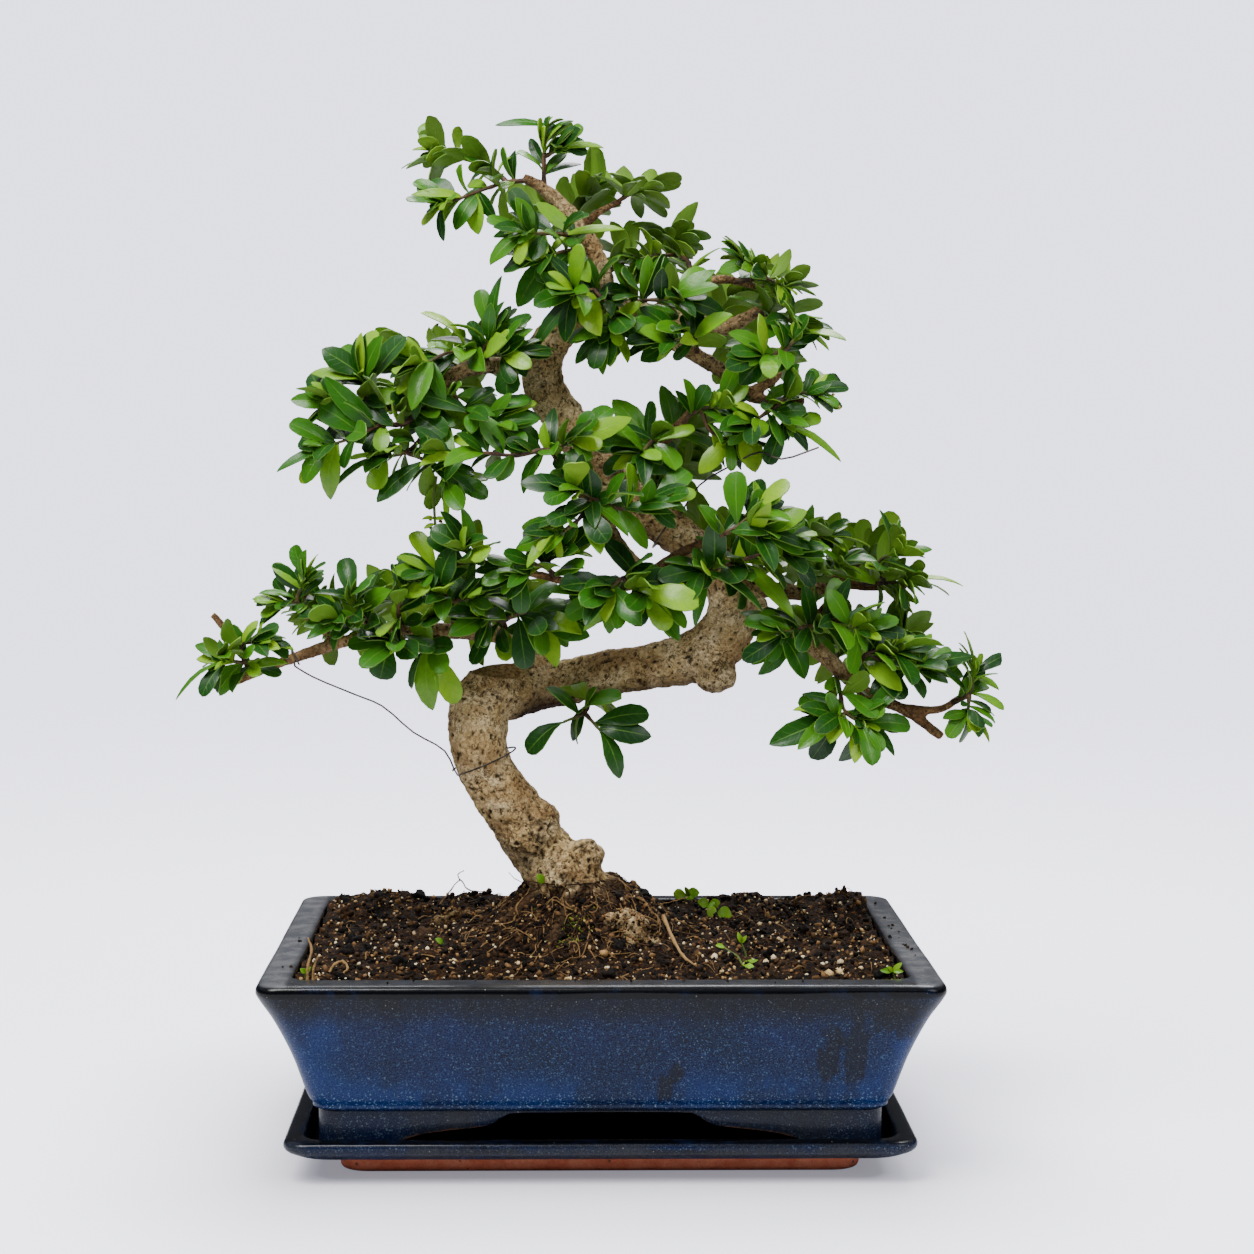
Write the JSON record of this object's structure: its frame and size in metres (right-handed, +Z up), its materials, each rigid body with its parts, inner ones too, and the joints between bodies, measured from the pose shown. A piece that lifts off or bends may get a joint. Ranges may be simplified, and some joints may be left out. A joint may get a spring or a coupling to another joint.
{
  "type": "fukien tea bonsai",
  "caption": "Old S-curved fukien tea bonsai in leafy tiers, planted in a footed rectangular glazed pot that stands in its drip saucer.",
  "frame": {"origin": "centre of the saucer's flat underside, where the whole thing rests", "axes": "+Z up, +X to the right along the pot's long side, -Y towards the front that the picture shows"},
  "size_m": [0.318, 0.187, 0.3944],
  "materials": {
    "pot_glaze": "gloss",
    "saucer_glaze": "gloss",
    "screen_mesh": "matte",
    "potting_soil": "matte",
    "bark": "matte",
    "foliage": "satin",
    "wire": "satin"
  },
  "bodies": {
    "root": {"drain_screen_left": "screen_mesh", "drain_screen_right": "screen_mesh", "guy_wire_left": "wire", "guy_wire_right": "wire", "pot": "pot_glaze", "saucer": "saucer_glaze", "soil": "potting_soil", "spray_apex_back": "foliage", "spray_apex_crown": "foliage", "spray_apex_front": "foliage", "spray_apex_left": "foliage", "spray_apex_low": "foliage", "spray_apex_right": "foliage", "spray_centre_back": "foliage", "spray_centre_front": "foliage", "spray_centre_tip": "foliage", "spray_crown_front": "foliage", "spray_crown_mid": "foliage", "spray_heart_front": "foliage", "spray_heart_left": "foliage", "spray_heart_mid_left": "foliage", "spray_heart_right": "foliage", "spray_knee_back": "foliage", "spray_knee_fork": "foliage", "spray_knee_high": "foliage", "spray_left_back": "foliage", "spray_left_end": "foliage", "spray_left_high": "foliage", "spray_left_inner": "foliage", "spray_left_low": "foliage", "spray_left_under": "foliage", "spray_lower_left_back": "foliage", "spray_lower_left_big": "foliage", "spray_lower_left_centre": "foliage", "spray_lower_left_end": "foliage", "spray_lower_left_front": "foliage", "spray_lower_left_inner": "foliage", "spray_lower_left_mid": "foliage", "spray_lower_left_rear": "foliage", "spray_lower_left_up": "foliage", "spray_lower_right_back": "foliage", "spray_lower_right_down": "foliage", "spray_lower_right_mid": "foliage", "spray_lower_right_tip": "foliage", "spray_lower_right_top": "foliage", "spray_mid_fork": "foliage", "spray_mid_tip": "foliage", "spray_right_back": "foliage", "spray_right_high": "foliage", "spray_right_inner": "foliage", "spray_right_low": "foliage", "spray_right_mid": "foliage", "spray_right_upper_back": "foliage", "spray_right_upper_mid": "foliage", "spray_right_upper_tip": "foliage", "spray_shoulder": "foliage", "spray_top_right": "foliage", "spray_top_up": "foliage", "spray_trunk_under": "foliage", "trunk": "bark"}
  },
  "joints": []
}
